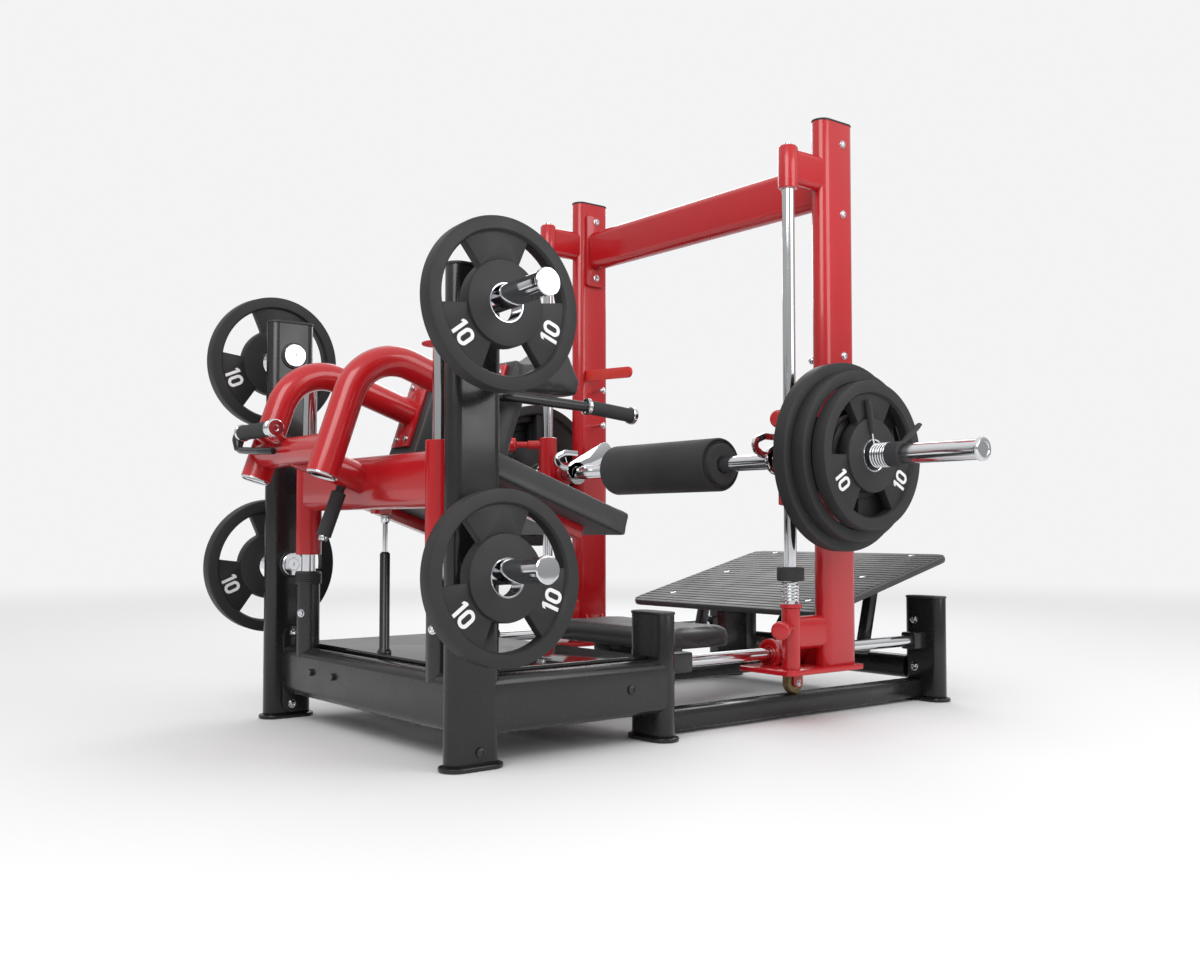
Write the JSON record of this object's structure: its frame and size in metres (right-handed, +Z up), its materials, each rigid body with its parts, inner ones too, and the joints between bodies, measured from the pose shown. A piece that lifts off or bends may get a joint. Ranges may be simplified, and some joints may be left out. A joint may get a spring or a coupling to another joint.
{
  "type": "hip thrust smith machine",
  "caption": "Hip-thrust smith machine: low frame, sliding padded back rest, rolling gantry with a guided loaded bar and roller pad, tilted foot plate and plate storage pegs.",
  "frame": {"origin": "middle of the floor outline, on the floor", "axes": "+X to the machine's right, along the bar; +Y from the head posts to the foot plate; +Z up"},
  "size_m": [1.992, 1.8996, 1.4885],
  "materials": {
    "black_paint": "gloss black powder coat",
    "red_paint": "gloss metallic red lacquer",
    "chrome": "polished chrome plate",
    "gloss_black": "gloss black panel",
    "upholstery": "fine-grained dark synthetic leather",
    "tread_plate": "matt charcoal ribbed tread",
    "plate_rubber": "satin black rubber coat",
    "grip_rubber": "matt black rubber",
    "wheel_tan": "tan nylon",
    "foam": "matt dark foam"
  },
  "bodies": {
    "base": {"side_frame_left": "black_paint", "track_frame_left": "black_paint", "rail_rod_left": "chrome", "column_left": "chrome", "side_frame_right": "black_paint", "track_frame_right": "black_paint", "rail_rod_right": "chrome", "column_right": "chrome", "head_beam": "black_paint", "centre_frame": "black_paint", "deck_panel": "gloss_black", "seat_pad": "upholstery", "foot_plate": "tread_plate", "gas_cylinder": "black_paint", "storage_peg_upper_left": "chrome", "storage_peg_upper_right": "chrome", "storage_peg_lower_left": "chrome", "storage_peg_lower_right": "chrome"},
    "stored_plate_upper_left": {"storage_plate_upper_left": "plate_rubber"},
    "stored_plate_upper_right": {"storage_plate_upper_right": "plate_rubber"},
    "stored_plate_lower_left": {"storage_plate_lower_left": "plate_rubber"},
    "stored_plate_lower_right": {"storage_plate_lower_right": "plate_rubber"},
    "back_rest": {"sleeve_left": "red_paint", "arm_left": "red_paint", "shoulder_pad_left": "upholstery", "side_handle_left": "grip_rubber", "sleeve_right": "red_paint", "arm_right": "red_paint", "shoulder_pad_right": "upholstery", "side_handle_right": "grip_rubber", "back_beam": "red_paint", "arm_tie": "red_paint", "back_pad": "upholstery", "gas_rod": "chrome"},
    "release_lever": {"release_lever": "grip_rubber"},
    "gantry": {"upright_left": "red_paint", "guide_rod_left": "chrome", "bumper_spring_left": "chrome", "upright_right": "red_paint", "guide_rod_right": "chrome", "bumper_spring_right": "chrome", "top_beam": "red_paint"},
    "wheel_left": {"wheel_left": "wheel_tan"},
    "bumper_left": {"bumper_left": "grip_rubber"},
    "foot_knob_left": {"foot_knob_left": "red_paint"},
    "lift": {"slider_left": "red_paint", "slider_right": "red_paint"},
    "slider_knob_left": {"slider_knob_left": "red_paint"},
    "wheel_right": {"wheel_right": "wheel_tan"},
    "bumper_right": {"bumper_right": "grip_rubber"},
    "foot_knob_right": {"foot_knob_right": "red_paint"},
    "slider_knob_right": {"slider_knob_right": "red_paint"},
    "bar": {"bar": "chrome", "hook_left": "chrome", "big_plate_left": "plate_rubber", "small_plate_left": "plate_rubber", "hook_right": "chrome", "big_plate_right": "plate_rubber", "small_plate_right": "plate_rubber"},
    "roller": {"roller": "foam"}
  },
  "joints": [
    {"name": "gantry_slide", "type": "slide", "parent": "base", "child": "gantry", "axis": [0, 1, 0], "range_m": [-0.2, 0.33]},
    {"name": "wheel_left_roll", "type": "hinge", "parent": "gantry", "child": "wheel_left", "pos_m": [-0.3685, 0.29483, 0.0853], "axis": [1, 0, 0], "continuous": true},
    {"name": "bumper_left_press", "type": "slide", "parent": "gantry", "child": "bumper_left", "axis": [0, 0, 1], "range_m": [-0.018, 0], "stiffness_N_per_m": 20000, "deforming": ["bumper_spring_left"]},
    {"name": "foot_knob_left_pull", "type": "slide", "parent": "gantry", "child": "foot_knob_left", "axis": [-0.5, -0.866, 0], "range_m": [0, 0.012], "stiffness_N_per_m": 400},
    {"name": "wheel_right_roll", "type": "hinge", "parent": "gantry", "child": "wheel_right", "pos_m": [0.3685, 0.29483, 0.0853], "axis": [1, 0, 0], "continuous": true},
    {"name": "bumper_right_press", "type": "slide", "parent": "gantry", "child": "bumper_right", "axis": [0, 0, 1], "range_m": [-0.018, 0], "stiffness_N_per_m": 20000, "deforming": ["bumper_spring_right"]},
    {"name": "foot_knob_right_pull", "type": "slide", "parent": "gantry", "child": "foot_knob_right", "axis": [0.5, -0.866, 0], "range_m": [0, 0.012], "stiffness_N_per_m": 400},
    {"name": "bar_lift", "type": "slide", "parent": "gantry", "child": "lift", "axis": [0, 0, 1], "range_m": [-0.14, 0.15]},
    {"name": "slider_knob_left_pull", "type": "slide", "parent": "lift", "child": "slider_knob_left", "axis": [-0.5, -0.866, 0], "range_m": [0, 0.012], "stiffness_N_per_m": 400},
    {"name": "slider_knob_right_pull", "type": "slide", "parent": "lift", "child": "slider_knob_right", "axis": [0.5, -0.866, 0], "range_m": [0, 0.012], "stiffness_N_per_m": 400},
    {"name": "bar_turn", "type": "hinge", "parent": "lift", "child": "bar", "pos_m": [0, 0.19983, 0.64], "axis": [1, 0, 0], "range_deg": [-40, 15]},
    {"name": "roller_spin", "type": "hinge", "parent": "bar", "child": "roller", "pos_m": [0, 0.19983, 0.64], "axis": [1, 0, 0], "continuous": true},
    {"name": "back_rest_slide", "type": "slide", "parent": "base", "child": "back_rest", "axis": [0, 0, 1], "range_m": [-0.02, 0.15]},
    {"name": "release_lever_squeeze", "type": "hinge", "parent": "back_rest", "child": "release_lever", "pos_m": [-0.006, -0.93917, 0.658], "axis": [0, 1, 0], "range_deg": [0, 5], "stiffness_Nm_per_rad": 2},
    {"name": "stored_plate_upper_left_slide", "type": "slide", "parent": "base", "child": "stored_plate_upper_left", "axis": [-0.9981, 0, 0.061], "range_m": [-0.04, 0.1]},
    {"name": "stored_plate_upper_right_slide", "type": "slide", "parent": "base", "child": "stored_plate_upper_right", "axis": [0.9981, 0, 0.061], "range_m": [-0.04, 0.1]},
    {"name": "stored_plate_lower_left_slide", "type": "slide", "parent": "base", "child": "stored_plate_lower_left", "axis": [-0.9981, 0, 0.061], "range_m": [-0.04, 0.1]},
    {"name": "stored_plate_lower_right_slide", "type": "slide", "parent": "base", "child": "stored_plate_lower_right", "axis": [0.9981, 0, 0.061], "range_m": [-0.04, 0.1]}
  ],
  "couplings": [
    {"joint": "wheel_left_roll", "follows": "gantry_slide", "rad_per_m": -36.364},
    {"joint": "wheel_right_roll", "follows": "gantry_slide", "rad_per_m": -36.364}
  ]
}
